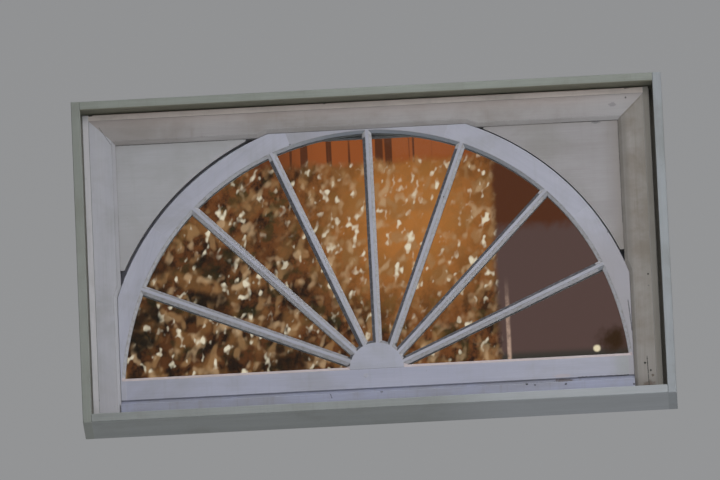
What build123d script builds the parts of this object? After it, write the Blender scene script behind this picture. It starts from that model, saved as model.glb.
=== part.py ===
# Half-round sunburst window: a fixed sash with radiating glazing bars, held in a
# rectangular painted wooden frame with two spandrel panels, inside a lining of four boards.
# Millimetres. +Z up, -Y outdoors, +X to the right as seen from outdoors.
# Origin: middle of the underside, halfway through the depth.
import os
from math import copysign, cos, hypot, radians, sin, sqrt

from build123d import *

# Sunburst and glass
sight_radius = 530.0  # edge of the daylight under the arch, from the arch's centre
springing_flare = 10.0  # how far the arch opens out at its feet
flare_angle = 22.5  # height above the springing line at which it begins to
# The bars were set by eye: angles above the springing line, counted from the right,
# and how far clockwise of the arch's centre the line of each bar passes
bar_angles = (24.1, 46.3, 69.15, 90.4, 112.35, 134.4, 157.0)
bar_offsets = (12.0, 11.4, 12.6, 3.9, -3.3, -6.1, -6.5)
bar_width = 20.0
bar_seat = 2.0  # bars run this far past the rim of the hub's face
tip_blunting = 1.0  # a pane ends this far outside the point where its sides meet
hub_radius = 65.0
hub_drop = 1.8  # the rail's face and the hub's centre lie this far below the arch's centre
rebate_width = 7.0  # putty and glass lap on every sash member
rebate_depth = 8.0
glass_thickness = 3.0
glass_clearance = 1.0

# Sash
arch_width = 50.0  # from the daylight edge to the outside of the arch
sash_thickness = 36.0
rail_height = 43.0
edge_land = 2.5  # face left on the arch where it is cut flat at the crown and sides
foot_width = 11.5  # arch foot beside the bottom rail
segment_angle = 36.0  # arch segment, five of them to the half circle
segment_count = 5
moulding_start = 12.0  # depth at which the indoor moulding begins
moulding_width = 6.5
moulding_quirk = 1.0
moulding_bulge = 0.3  # share of the way out from its chord that the hollow keeps
arris = 0.8  # small bevel on exposed wooden edges

# Frame
sash_clearance = 0.5
sash_recess = 6.0  # sash face behind the frame face
chamfer_width = 7.5
quirk_width = 0.8  # fine step that sets the chamfer off from the frame face
quirk_depth = 0.8
panel_lap = 9.0  # frame edge beside the panels, inside the line of the sash edge
casing_width = 56.0
jamb_edge = 13.0  # edge of the jamb that shows beside the casing
jamb_thickness = 20.0
jamb_depth = 90.0
sill_nose_height = 27.0
sill_nose_depth = 10.0
sill_nose_fall = 2.0
sill_gap = 9.7  # shallow open joint under the bottom rail
groove_depth = 10.0
groove_clearance = 1.0

# Spandrel panels
panel_thickness = 10.0
panel_recess = 8.0  # panel face behind the frame face
left_panel_gap = 7.0  # open joint between arch and panel
right_panel_gap = 3.0
panel_head_tip = 5.0  # height left of a corner board where it ends under the head
panel_side_tip = 9.0  # width left of it where it ends beside the leg

# Lining boards round the frame
board_thickness = 19.0
reveal = 30.0  # lining stands this far in front of the frame face
left_gap = 3.0  # the frame stands off the middle of the lining
right_gap = 9.0
head_gap = 3.0
board_arris = 1.5

# Indoor stops and hidden joinery
stop_thickness = 15.0
stop_height = 22.0
stop_arris = 3.0
corner_lap = 12.0  # lap of the corner stops over the back of the arch
tenon_thickness = 12.0
tenon_width = 16.0
tenon_length = 30.0
tenon_play = 0.4
tenon_cover = 1.6  # wood between an arch tenon and the rebate
bar_tenon_thickness = 8.0
dowel_radius = 4.0
dowel_length = 30.0
dowel_spacing = 60.0
key_thickness = 4.0
key_size = 40.0
plug_radius = 4.5
plug_length = 10.0
plug_side = -24.0
plug_drop = 14.0
putty_setback = 0.8
putty_land = 0.7
putty_clearance = 0.1
point_thickness = 0.6
point_width = 8.0
point_bite = 2.0  # how far a glazing point is driven into the wood
point_lap = 3.5  # and how far it laps the glass
point_shares = (0.35, 0.75)  # places along a bar
packer_height = 50.0
packer_width = 40.0
seal_depth = 25.0
left_seal_depth = 1.5  # the narrow joint is filled almost flush
seal_width = 15.0
side_shares = (0.15, 0.5, 0.85)  # places up the sides of the frame

# Fasteners
screw_radius = 2.0
screw_head_radius = 4.0
screw_play = 0.15
corner_screw_length = 48.0
stop_screw_length = 23.0
head_screw_shares = (0.3, 0.8)  # places along the head stop, out from the middle
wall_hole_radius = 3.0
wall_hole_shares = (0.25, 0.75)
nail_radius = 1.5
nail_length = 45.0
nail_shares = (0.3, 0.7)
cut_margin = 1.0  # cutters run past the surface they leave by
touch = 0.01  # edges this close to a face lie on it

# Worked out from the sizes above
face_radius = sight_radius + rebate_width
bar_start = hub_radius - rebate_width - bar_seat - hub_drop
outer_radius = sight_radius + arch_width
glass_front = sash_recess + rebate_depth - glass_thickness
glass_back = sash_recess + rebate_depth
sash_back = sash_recess + sash_thickness
sash_half = sight_radius + springing_flare + rebate_width + edge_land
crown_rise = face_radius + edge_land
board_bottom = 0.0
frame_bottom = board_bottom + board_thickness
sill_nose_top = frame_bottom + sill_nose_height
sash_bottom = sill_nose_top + sill_gap
hub_z = sash_bottom + rail_height
spring_z = hub_z + hub_drop
crown_z = spring_z + crown_rise
foot_inner = sash_half - foot_width
opening_half = sash_half + sash_clearance
opening_top = crown_z + sash_clearance
edge_half = opening_half - panel_lap
edge_top = opening_top - panel_lap
casing_half = edge_half + casing_width
casing_top = edge_top + casing_width
frame_half = casing_half + jamb_edge
frame_top = casing_top + jamb_edge
jamb_inner = frame_half - jamb_thickness
jamb_under = frame_top - jamb_thickness
left_inner = -frame_half - left_gap
right_inner = frame_half + right_gap
left_outer = left_inner - board_thickness
right_outer = right_inner + board_thickness
board_under = frame_top + head_gap
board_top = board_under + board_thickness
total_depth = reveal + jamb_depth
face_y = reveal - total_depth / 2
stop_back = sash_back + stop_thickness
bar_count = len(bar_angles)
bay_count = bar_count + 1

# The arch opens out on an arc that leaves the main circle near the lowest bars
flare_run = hypot(
    sight_radius + springing_flare - sight_radius * cos(radians(flare_angle)),
    sight_radius * sin(radians(flare_angle)),
)
flare_drop = sight_radius - (sight_radius + springing_flare) * cos(radians(flare_angle))
flare_radius = flare_run**2 / (2 * flare_drop)
flare_centre_x = (sight_radius - flare_radius) * cos(radians(flare_angle))
flare_centre_z = (sight_radius - flare_radius) * sin(radians(flare_angle))


def slab(outline, near, far):
    """Thicken an outline drawn in x and z, between two depths behind the frame face."""
    at = Plane(origin=(0, face_y + far, 0), x_dir=(1, 0, 0), z_dir=(0, -1, 0))
    return extrude(at * outline, amount=far - near)


def block(x0, x1, z0, z1, near, far):
    """A squared board between two depths behind the frame face."""
    middle = ((x0 + x1) / 2, face_y + (near + far) / 2, (z0 + z1) / 2)
    return Pos(*middle) * Box(abs(x1 - x0), far - near, abs(z1 - z0))


def about_centre(piece, angle):
    """Turn a piece drawn upright on the arch's centre to an angle above the springing line."""
    return Pos(0, 0, spring_z) * Rot(0, 90 - angle, 0) * piece


def on_bar(piece, number):
    """Turn a piece drawn upright on the z axis to the line of a bar, counted from the right."""
    return about_centre(Pos(bar_offsets[number - 1], 0, 0) * piece, bar_angles[number - 1])


def mirrored(piece):
    return mirror(piece, about=Plane.YZ)


def side_rod(x, depth, z, radius, length):
    """A rod along x that starts at x and runs towards the middle of the window."""
    middle = x - length / 2 if x > 0 else x + length / 2
    return Pos(middle, face_y + depth, z) * Rot(0, 90, 0) * Cylinder(radius, length)


def upright_rod(x, depth, z, radius, length):
    return Pos(x, face_y + depth, z + length / 2) * Cylinder(radius, length)


def through_rod(x, z, radius, near, far):
    """A rod along the depth of the window."""
    middle = face_y + (near + far) / 2
    return Pos(x, middle, z) * Rot(90, 0, 0) * Cylinder(radius, far - near)


# Sections of the sash members


def moulded_edge(edge, inward):
    """Points and arc of a sash member's inner edge, from outdoors to indoors.

    edge is where the daylight ends, inward is +1 or -1, pointing into the wood.
    """
    front = sash_recess
    start = front + moulding_start
    quirk = (edge + inward * moulding_quirk, start)
    back = (edge + inward * moulding_width, sash_back)
    middle = ((quirk[0] + back[0]) / 2, (quirk[1] + back[1]) / 2)
    bulge = (
        middle[0] + moulding_bulge * (quirk[0] - middle[0]),
        middle[1] + moulding_bulge * (back[1] - middle[1]),
    )
    steps = Polyline(
        (edge + inward * rebate_width, front),
        (edge + inward * rebate_width, front + rebate_depth),
        (edge, front + rebate_depth),
        (edge, start),
        quirk,
    )
    return steps + ThreePointArc(quirk, bulge, back)


def member_section(edge, outer):
    """Section of an arch, rail or hub: across the member, and depth behind the frame face."""
    inward = 1 if outer > edge else -1
    back = (edge + inward * moulding_width, sash_back)
    front = (edge + inward * rebate_width, sash_recess)
    rest = Polyline(back, (outer, sash_back), (outer, sash_recess), front)
    return make_face(moulded_edge(edge, inward) + rest)


def bar_section():
    half = bar_width / 2
    right = moulded_edge(half, -1)
    left = moulded_edge(-half, 1)
    front = Line((half - rebate_width, sash_recess), (rebate_width - half, sash_recess))
    back = Line((half - moulding_width, sash_back), (moulding_width - half, sash_back))
    return make_face(right + left + front + back)


def ring_piece(edge, outer, centre_x, centre_z, from_angle, to_angle):
    """Part of a ring: the member section turned about a centre, between two angles."""
    plane = Plane(origin=(0, 0, 0), x_dir=(1, 0, 0), z_dir=(0, 0, 1))
    section = plane * member_section(edge, outer)
    turned = revolve(section, axis=Axis.Y, revolution_arc=to_angle - from_angle)
    return Pos(centre_x, face_y, spring_z + centre_z) * Rot(0, -to_angle, 0) * turned


# Frame


def opening_outline(grow):
    """Clear opening of the frame, widened by grow: sash outline below, panels above."""
    reach = outer_radius + sash_clearance + grow
    low = board_bottom
    wide, tall = opening_half + grow, opening_top + grow
    near, high = edge_half + grow, edge_top + grow
    shoulder = spring_z + sqrt(reach**2 - wide**2)
    ledge = spring_z + sqrt(reach**2 - near**2)
    notch = sqrt(reach**2 - (high - spring_z) ** 2)
    crown = sqrt(reach**2 - (tall - spring_z) ** 2)

    def side(s):
        lower_mid = mid_arc((0, spring_z), reach, (wide, shoulder), (near, ledge))
        upper_mid = mid_arc((0, spring_z), reach, (notch, high), (crown, tall))
        return [
            Line((s * wide, low), (s * wide, shoulder)),
            ThreePointArc((s * wide, shoulder), (s * lower_mid[0], lower_mid[1]), (s * near, ledge)),
            Line((s * near, ledge), (s * near, high)),
            Line((s * near, high), (s * notch, high)),
            ThreePointArc((s * notch, high), (s * upper_mid[0], upper_mid[1]), (s * crown, tall)),
        ]

    ends = [Line((-wide, low), (wide, low)), Line((-crown, tall), (crown, tall))]
    return make_face(Curve() + side(1) + side(-1) + ends)


def mid_arc(centre, radius, first, second):
    """Point of a circle halfway between two of its points."""
    x = (first[0] + second[0]) / 2 - centre[0]
    z = (first[1] + second[1]) / 2 - centre[1]
    scale = radius / hypot(x, z)
    return (centre[0] + x * scale, centre[1] + z * scale)


def frame_opening():
    """The space inside the frame, with the quirked chamfer round its outdoor edge."""
    wide = Plane(origin=(0, face_y, 0), x_dir=(1, 0, 0), z_dir=(0, -1, 0))
    tight = Plane(origin=(0, face_y + sash_recess, 0), x_dir=(1, 0, 0), z_dir=(0, -1, 0))
    chamfered = loft([wide * opening_outline(chamfer_width), tight * opening_outline(0)], ruled=True)
    quirk = slab(opening_outline(chamfer_width + quirk_width), 0, quirk_depth)
    return chamfered + quirk + slab(opening_outline(0), sash_recess, sash_back)


def panel_groove():
    """Groove round the upper part of the frame that the spandrel panels sit in."""
    lowest = tip_beside_leg(outer_radius + left_panel_gap) - groove_depth
    wide, high = edge_half + groove_depth, edge_top + groove_depth
    return block(-wide, wide, lowest, high, panel_recess, panel_recess + panel_thickness)


def tip_beside_leg(radius):
    """Height at which a board cut to a circle is blunted beside the frame's leg."""
    return spring_z + sqrt(radius**2 - (edge_half - panel_side_tip) ** 2)


def tip_under_head(radius):
    """Distance from the middle at which it is blunted under the frame's head."""
    return sqrt(radius**2 - (edge_top - panel_head_tip - spring_z) ** 2)


def casing_members(opening, groove):
    outer = [(-casing_half, casing_top), (casing_half, casing_top)]
    inner = [(edge_half, edge_top), (-edge_half, edge_top)]
    head = slab(make_face(Polyline(*outer, *inner, outer[0])), 0, sash_back)
    leg_corners = [
        (casing_half, frame_bottom),
        (casing_half, casing_top),
        (edge_half, edge_top),
        (edge_half, frame_bottom),
    ]
    leg = slab(make_face(Polyline(*leg_corners, leg_corners[0])), 0, sash_back)
    head = chamfer(front_edges(head).filter_by(Axis.X).sort_by(Axis.Z)[-1:], arris)
    leg = chamfer(front_edges(leg).filter_by(Axis.Z).sort_by(Axis.X)[-1:], arris)
    keys = mitre_keys()
    head = head - opening - groove - keys
    right = leg - opening - groove - keys
    left = mirrored(leg) - opening - groove - keys
    return head, left, right


def front_edges(piece):
    return piece.edges().filter_by(lambda e: e.center().Y < face_y + touch)


def mitre_keys():
    """A loose plywood key let into each mitred corner from outside."""
    middle = (casing_half + edge_half) / 2
    level = (casing_top + edge_top) / 2
    depth = face_y + (panel_recess + panel_thickness + sash_back) / 2
    key = Pos(middle, depth, level) * Rot(0, 45, 0) * Box(key_size, key_thickness, key_size / 2)
    return key + mirrored(key)


def jambs():
    head = block(-casing_half, casing_half, jamb_under, frame_top, 0, jamb_depth)
    head = head - block(-casing_half, casing_half, jamb_under, casing_top, 0, sash_back)
    side = block(jamb_inner, frame_half, frame_bottom, frame_top, 0, jamb_depth)
    side = side - block(jamb_inner, casing_half, frame_bottom, frame_top, 0, sash_back)
    side = side - block(jamb_inner, casing_half, jamb_under, frame_top, 0, jamb_depth)
    side = chamfer(front_edges(side).filter_by(Axis.Z).sort_by(Axis.X)[-1:], arris)
    head = chamfer(front_edges(head).filter_by(Axis.X).sort_by(Axis.Z)[-1:], arris)
    return head, mirrored(side), side


def sill():
    section = Polyline(
        (0, frame_bottom),
        (0, sill_nose_top - arris),
        (arris, sill_nose_top),
        (sill_nose_depth, sill_nose_top + sill_nose_fall),
        (sill_nose_depth, sash_bottom),
        (jamb_depth, sash_bottom),
        (jamb_depth, frame_bottom),
        (0, frame_bottom),
    )
    across = Plane(origin=(-jamb_inner, face_y, 0), x_dir=(0, 1, 0), z_dir=(1, 0, 0))
    body = extrude(across * make_face(section), amount=2 * jamb_inner)
    ends = block(opening_half, jamb_inner, frame_bottom, sash_bottom, 0, sash_back)
    return body - ends - mirrored(ends)


def corner_board(radius, side, high, near, far):
    """Right-hand board that fills a corner of the frame, cut to a circle, with blunt tips."""
    board = block(tip_under_head(radius), side, tip_beside_leg(radius), high, near, far)
    return board - through_rod(0, spring_z, radius, near, far)


def spandrel(gap):
    """Right-hand panel, held on two sides by the frame's groove."""
    side = edge_half + groove_depth - groove_clearance
    high = edge_top + groove_depth - groove_clearance
    far = panel_recess + panel_thickness
    return corner_board(outer_radius + gap, side, high, panel_recess, far)


def lining_boards():
    front, back = -reveal, jamb_depth
    head = block(left_inner, right_inner, board_under, board_top, front, back)
    base = block(left_inner, right_inner, board_bottom, frame_bottom, front, back)
    left = block(left_outer, left_inner, board_bottom, board_top, front, back)
    right = block(right_inner, right_outer, board_bottom, board_top, front, back)
    left = chamfer(front_board_edges(left).filter_by(Axis.Z), board_arris)
    right = chamfer(front_board_edges(right).filter_by(Axis.Z), board_arris)
    head = chamfer(front_board_edges(head).filter_by(Axis.X), board_arris)
    base = chamfer(front_board_edges(base).filter_by(Axis.X), board_arris)
    return head, left, right, base


def front_board_edges(piece):
    return piece.edges().filter_by(lambda e: e.center().Y < face_y - reveal + touch)


def stops():
    """Flat boards indoors that the sash is held against."""
    near, far = sash_back, stop_back
    head = block(-jamb_inner, jamb_inner, edge_top, jamb_under, near, far)
    base = block(-jamb_inner, jamb_inner, sash_bottom, sash_bottom + stop_height, near, far)
    side = block(edge_half, jamb_inner, sash_bottom + stop_height, edge_top, near, far)
    head = chamfer(back_edges(head, far).filter_by(Axis.X).sort_by(Axis.Z)[:1], stop_arris)
    base = chamfer(back_edges(base, far).filter_by(Axis.X).sort_by(Axis.Z)[-1:], stop_arris)
    side = chamfer(back_edges(side, far).filter_by(Axis.Z).sort_by(Axis.X)[:1], stop_arris)
    return head, mirrored(side), side, base


def back_edges(piece, depth):
    return piece.edges().filter_by(lambda e: e.center().Y > face_y + depth - touch)


def stop_corner():
    """Right-hand corner of the stops, cut to lap the back of the arch."""
    return corner_board(outer_radius - corner_lap, edge_half, edge_top, sash_back, stop_back)


def gap_seals():
    """Strips packed into the joint between frame and lining, behind the open part of it."""
    far = seal_depth + seal_width
    right = block(frame_half, right_inner, frame_bottom, board_under, seal_depth, far)
    left = block(left_inner, -frame_half, frame_bottom, board_under, left_seal_depth, far)
    head = block(-frame_half, frame_half, frame_top, board_under, seal_depth, far)
    return [head, left, right]


# Sash


def arch_blank(from_angle, to_angle):
    """Moulded arch between two angles, before the flats and joints are cut."""
    low, high = flare_angle, 180 - flare_angle
    pieces = []
    start, end = max(from_angle, low), min(to_angle, high)
    pieces.append(ring_piece(sight_radius, outer_radius, 0, 0, start, end))
    flare_end = sash_half + flare_radius
    if from_angle < low:
        right = ring_piece(flare_radius, flare_end, flare_centre_x, flare_centre_z, 0, low)
        pieces.append(right)
    if to_angle > high:
        right = ring_piece(flare_radius, flare_end, flare_centre_x, flare_centre_z, 0, low)
        pieces.append(mirrored(right))
    if len(pieces) == 1:
        return pieces[0]
    return pieces[0] + pieces[1]


def sash_outline():
    """Outside of the sash: a half circle with three flats on a straight foot, edges eased."""
    disc = Pos(0, spring_z) * Circle(outer_radius)
    disc = disc & Pos(0, (spring_z + crown_z) / 2) * Rectangle(2 * sash_half, crown_rise)
    foot = Pos(0, (sash_bottom + spring_z) / 2) * Rectangle(2 * sash_half, spring_z - sash_bottom)
    body = slab(make_face((disc + foot).faces()[0].outer_wire()), sash_recess, sash_back)
    return chamfer(sash_face_edges(body), arris)


def sash_face_edges(piece):
    return piece.edges().filter_by(lambda e: e.center().Y < face_y + sash_recess + touch)


def joint_tenon(angle, play):
    """Tenon across a joint of the arch, or with play the mortise for it."""
    radius = face_radius + tenon_width / 2 + tenon_cover
    middle = (sash_recess + sash_back) / 2
    size = (tenon_length + 2 * play, tenon_thickness + 2 * play, tenon_width + 2 * play)
    return about_centre(Pos(0, face_y + middle, radius) * Box(*size), angle)


def bar_mortise(number):
    """Pocket in arch and hub for a bar's stub tenon."""
    depth = sash_recess + rebate_depth + bar_tenon_thickness / 2
    low, high = bar_start - tenon_play, face_radius + tenon_play
    pocket = Box(bar_width - 2 * rebate_width, bar_tenon_thickness, high - low)
    return on_bar(Pos(0, face_y + depth, (low + high) / 2) * pocket, number)


def arch_segment(number, outline):
    """One arch segment, numbered from the right foot; tenon at its upper end, clockwise."""
    first, last = (number - 1) * segment_angle, number * segment_angle
    piece = arch_blank(first, last)
    if number == 1:
        piece = piece + arch_foot()
    if number == segment_count:
        piece = piece + mirrored(arch_foot())
    piece = piece & outline
    for k in range(1, bar_count + 1):
        if first < bar_angles[k - 1] < last:
            piece = piece - bar_mortise(k)
    if number > 1:
        piece = piece - joint_tenon(first, tenon_play)
    if number < segment_count:
        reach = sector(last - segment_angle / 2, last + segment_angle / 2)
        piece = piece + (joint_tenon(last, 0) & reach)
    return piece


def sector(first, last):
    """Wedge between two angles about the arch's centre, larger than the sash."""
    far = 2 * outer_radius
    corners = [
        (0, spring_z),
        (far * cos(radians(first)), spring_z + far * sin(radians(first))),
        (far * cos(radians(last)), spring_z + far * sin(radians(last))),
    ]
    return slab(make_face(Polyline(*corners, corners[0])), -reveal, jamb_depth)


def arch_foot():
    """The arch runs down beside the bottom rail."""
    return block(foot_inner, sash_half, sash_bottom, hub_z, sash_recess, sash_back)


def hub():
    """Half-disc block that the bars spring from, with a fine groove where it meets the rail."""
    half = ring_piece(hub_radius, 0, 0, -hub_drop, 0, 180)
    half = chamfer(sash_face_edges(half).filter_by(Axis.X), arris)
    for k in range(1, bar_count + 1):
        half = half - bar_mortise(k)
    return half - hub_dowels(screw_play)


def hub_dowels(play):
    depth = (sash_recess + sash_back) / 2
    low = hub_z - dowel_length / 2
    one = upright_rod(dowel_spacing / 2, depth, low, dowel_radius + play, dowel_length)
    return one + mirrored(one)


def bottom_rail(arch_parts, hub_block, outline):
    """Rail with the same moulded upper edge as the arch, coped to the arch and the hub."""
    across = Plane(origin=(sash_half, face_y, 0), x_dir=(0, 0, 1), z_dir=(-1, 0, 0))
    section = member_section(hub_z + rebate_width, sash_bottom)
    rail = extrude(across * section, amount=2 * sash_half) & outline
    return rail - arch_parts - hub_block


def muntin(number, cutters):
    """One glazing bar with its moulding coped to arch and hub and a stub tenon at each end."""
    upright = Plane(origin=(0, face_y, bar_start), x_dir=(1, 0, 0), z_dir=(0, 0, 1))
    bar = on_bar(extrude(upright * bar_section(), amount=face_radius - bar_start), number)
    for cutter in cutters:
        bar = bar - cutter
    return max(bar.solids(), key=lambda s: s.volume)


def line_meets(angle, offset, centre, radius):
    """Where a line parallel to an angle, offset to its left, leaves a circle."""
    u = (cos(radians(angle)), sin(radians(angle)))
    w = (-u[1] * offset - centre[0], u[0] * offset - centre[1])
    along = w[0] * u[0] + w[1] * u[1]
    run = -along + sqrt(along**2 - (w[0] ** 2 + w[1] ** 2 - radius**2))
    return (centre[0] + w[0] + u[0] * run, centre[1] + w[1] + u[1] * run)


def bay_side(number):
    """Angle of a bar's line and how far left of the arch's centre it passes; the ends are the rail."""
    if number == 0:
        return 0, -hub_drop
    if number == bay_count:
        return 180, hub_drop
    return bar_angles[number - 1], -bar_offsets[number - 1]


def bay_start(first, lower, last, upper, grow):
    """How far from the hub's centre a bay begins: at the rim, or just outside where its sides meet."""
    turn = radians(last - first)
    ahead = (lower * cos(turn) - upper) / sin(turn)
    meet_x = ahead * cos(radians(first)) - lower * sin(radians(first))
    meet_z = ahead * sin(radians(first)) + lower * cos(radians(first)) + hub_drop
    return max(hub_radius - grow, copysign(hypot(meet_x, meet_z), ahead) + tip_blunting)


def bay_outline(number, grow):
    """Daylight of one bay, widened by grow, between two bars or a bar and the rail."""
    first, first_line = bay_side(number - 1)
    last, last_line = bay_side(number)
    lower = first_line + (rebate_width if number == 1 else bar_width / 2) - grow
    upper = last_line - (rebate_width if number == bay_count else bar_width / 2) + grow
    centre, radius = (0, 0), sight_radius + grow
    if number == 1:
        centre, radius = (flare_centre_x, flare_centre_z), flare_radius + grow
    if number == bay_count:
        centre, radius = (-flare_centre_x, flare_centre_z), flare_radius + grow
    start = bay_start(first, lower, last, upper, grow)
    a = line_meets(first, lower, (0, -hub_drop), start)
    b = line_meets(first, lower, centre, radius)
    c = line_meets(last, upper, centre, radius)
    d = line_meets(last, upper, (0, -hub_drop), start)
    outer = mid_arc(centre, radius, b, c)
    inner = mid_arc((0, -hub_drop), start, d, a)
    edges = [Line(a, b), ThreePointArc(b, outer, c), Line(c, d), ThreePointArc(d, inner, a)]
    return Pos(0, spring_z) * make_face(Curve() + edges)


def pane(number):
    return slab(bay_outline(number, rebate_width - glass_clearance), glass_front, glass_back)


def putty(number, points):
    """Sloped putty all round a pane, from just under the sash face down to the glass."""
    near = sash_recess + putty_setback
    ring = slab(bay_outline(number, rebate_width - putty_clearance), near, glass_front)
    wide = Plane(origin=(0, face_y + near, 0), x_dir=(1, 0, 0), z_dir=(0, -1, 0))
    tight = Plane(origin=(0, face_y + glass_front, 0), x_dir=(1, 0, 0), z_dir=(0, -1, 0))
    top = bay_outline(number, rebate_width - putty_clearance - putty_land)
    slope = loft([wide * top, tight * bay_outline(number, 0)], ruled=True)
    return ring - slope - points


def glazing_point(number, side, distance):
    """Small metal tab driven into a bar beside the glass; side is +1 or -1."""
    middle = side * (bar_width / 2 - rebate_width + (point_lap + glass_clearance - point_bite) / 2)
    depth = glass_front - point_thickness / 2
    size = (point_lap + glass_clearance + point_bite, point_thickness, point_width)
    return on_bar(Pos(middle, face_y + depth, distance) * Box(*size), number)


def glazing_points():
    """Two tabs to each side of every bar."""
    tabs = []
    for k in range(1, bar_count + 1):
        for side in (-1, 1):
            for share in point_shares:
                tabs.append(glazing_point(k, side, sight_radius * share))
    return tabs


def rail_plug(play):
    z = hub_z - plug_drop
    near = sash_recess - (0 if play else putty_land / 2)
    return through_rod(plug_side, z, plug_radius + play, near, sash_recess + plug_length)


# Fasteners


def side_screw(x, depth, z, length, play=0.0):
    """Countersunk screw along x; its head is flush with the face at x."""
    shank = side_rod(x, depth, z, screw_radius + play, length + play)
    lean = 90 if x > 0 else -90
    centre = x - screw_radius / 2 if x > 0 else x + screw_radius / 2
    cone = Cone(screw_radius + play, screw_head_radius + play, screw_radius)
    return shank + Pos(centre, face_y + depth, z) * Rot(0, lean, 0) * cone


def inside_screw(x, depth, z, length, play=0.0):
    """Countersunk screw along x, driven outwards from the indoor face of a jamb."""
    sign = 1 if x > 0 else -1
    shank = Pos(x + sign * length / 2, face_y + depth, z) * Rot(0, 90, 0)
    shank = shank * Cylinder(screw_radius + play, length + play)
    lean = -90 if x > 0 else 90
    cone = Cone(screw_radius + play, screw_head_radius + play, screw_radius)
    return shank + Pos(x + sign * screw_radius / 2, face_y + depth, z) * Rot(0, lean, 0) * cone


def back_screw(x, z, depth, length, play=0.0):
    """Countersunk screw along y, driven outdoors from the indoor face of a stop."""
    shank = through_rod(x, z, screw_radius + play, depth - length - play, depth)
    cone = Cone(screw_radius + play, screw_head_radius + play, screw_radius)
    return shank + Pos(x, face_y + depth - screw_radius / 2, z) * Rot(-90, 0, 0) * cone


def frame_fixings(play=0.0):
    """Screws through the side jambs and packers into the lining boards."""
    depth = (stop_back + jamb_depth) / 2
    out = []
    for s, gap in ((-1, left_gap), (1, right_gap)):
        length = jamb_thickness + gap + board_thickness / 2
        out += [inside_screw(s * jamb_inner, depth, z, length, play) for z in packer_levels()]
    return out


def packer_levels():
    tall = frame_top - frame_bottom
    return [frame_bottom + tall * share for share in side_shares]


def packers(cutters):
    far = jamb_depth
    near = far - packer_width
    out = []
    for z in packer_levels():
        low, high = z - packer_height / 2, z + packer_height / 2
        out.append(block(frame_half, right_inner, low, high, near, far))
        out.append(block(left_inner, -frame_half, low, high, near, far))
    for x in (-frame_half / 2, 0, frame_half / 2):
        wide = packer_height / 2
        out.append(block(x - wide, x + wide, frame_top, board_under, near, far))
    cut = []
    for piece in out:
        for cutter in cutters:
            piece = piece - cutter
        cut.append(piece)
    return cut


def wall_holes():
    """Holes through jamb and lining for the fixings into the wall, two to a side."""
    depth = (stop_back + jamb_depth) / 2
    tall = frame_top - frame_bottom
    out = []
    for start in (left_outer - cut_margin, right_outer + cut_margin):
        length = abs(start) - jamb_inner + cut_margin
        for share in wall_hole_shares:
            z = frame_bottom + tall * share
            out.append(side_rod(start, depth, z, wall_hole_radius, length))
    return out


def corner_screws(play=0.0):
    """Two screws through each end of the side boards into the head and bottom boards."""
    out = []
    for x in (left_outer, right_outer):
        for z in (board_bottom + board_thickness / 2, board_top - board_thickness / 2):
            for depth in (0, jamb_depth - reveal):
                out.append(side_screw(x, depth, z, corner_screw_length, play))
    return out


def stop_screws(play=0.0):
    """Screws through the stops into the frame members behind them."""
    across = (edge_half + jamb_inner) / 2
    level = (edge_top + casing_top) / 2
    low = sash_bottom + stop_height
    out = []
    for s in (-1, 1):
        for share in side_shares:
            z = low + (edge_top - low) * share
            out.append(back_screw(s * across, z, stop_back, stop_screw_length, play))
        for share in head_screw_shares:
            out.append(back_screw(s * share * edge_half, level, stop_back, stop_screw_length, play))
    return out


def foot_nails(play=0.0):
    """Two nails through each arch foot into the end of the bottom rail."""
    depth = (sash_recess + sash_back) / 2
    out = []
    for s in (-1, 1):
        for share in nail_shares:
            z = sash_bottom + rail_height * share
            out.append(side_rod(s * sash_half, depth, z, nail_radius + play, nail_length))
    return out


def cut_all(piece, cutters):
    for cutter in cutters:
        piece = piece - cutter
    return piece


def near_only(piece, cutters):
    """The cutters whose boxes meet the piece's box."""
    box = piece.bounding_box()
    return [c for c in cutters if boxes_meet(box, c.bounding_box())]


def boxes_meet(one, two):
    low, high = one.min, one.max
    other_low, other_high = two.min, two.max
    return (
        low.X < other_high.X
        and other_low.X < high.X
        and low.Y < other_high.Y
        and other_low.Y < high.Y
        and low.Z < other_high.Z
        and other_low.Z < high.Z
    )


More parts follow.
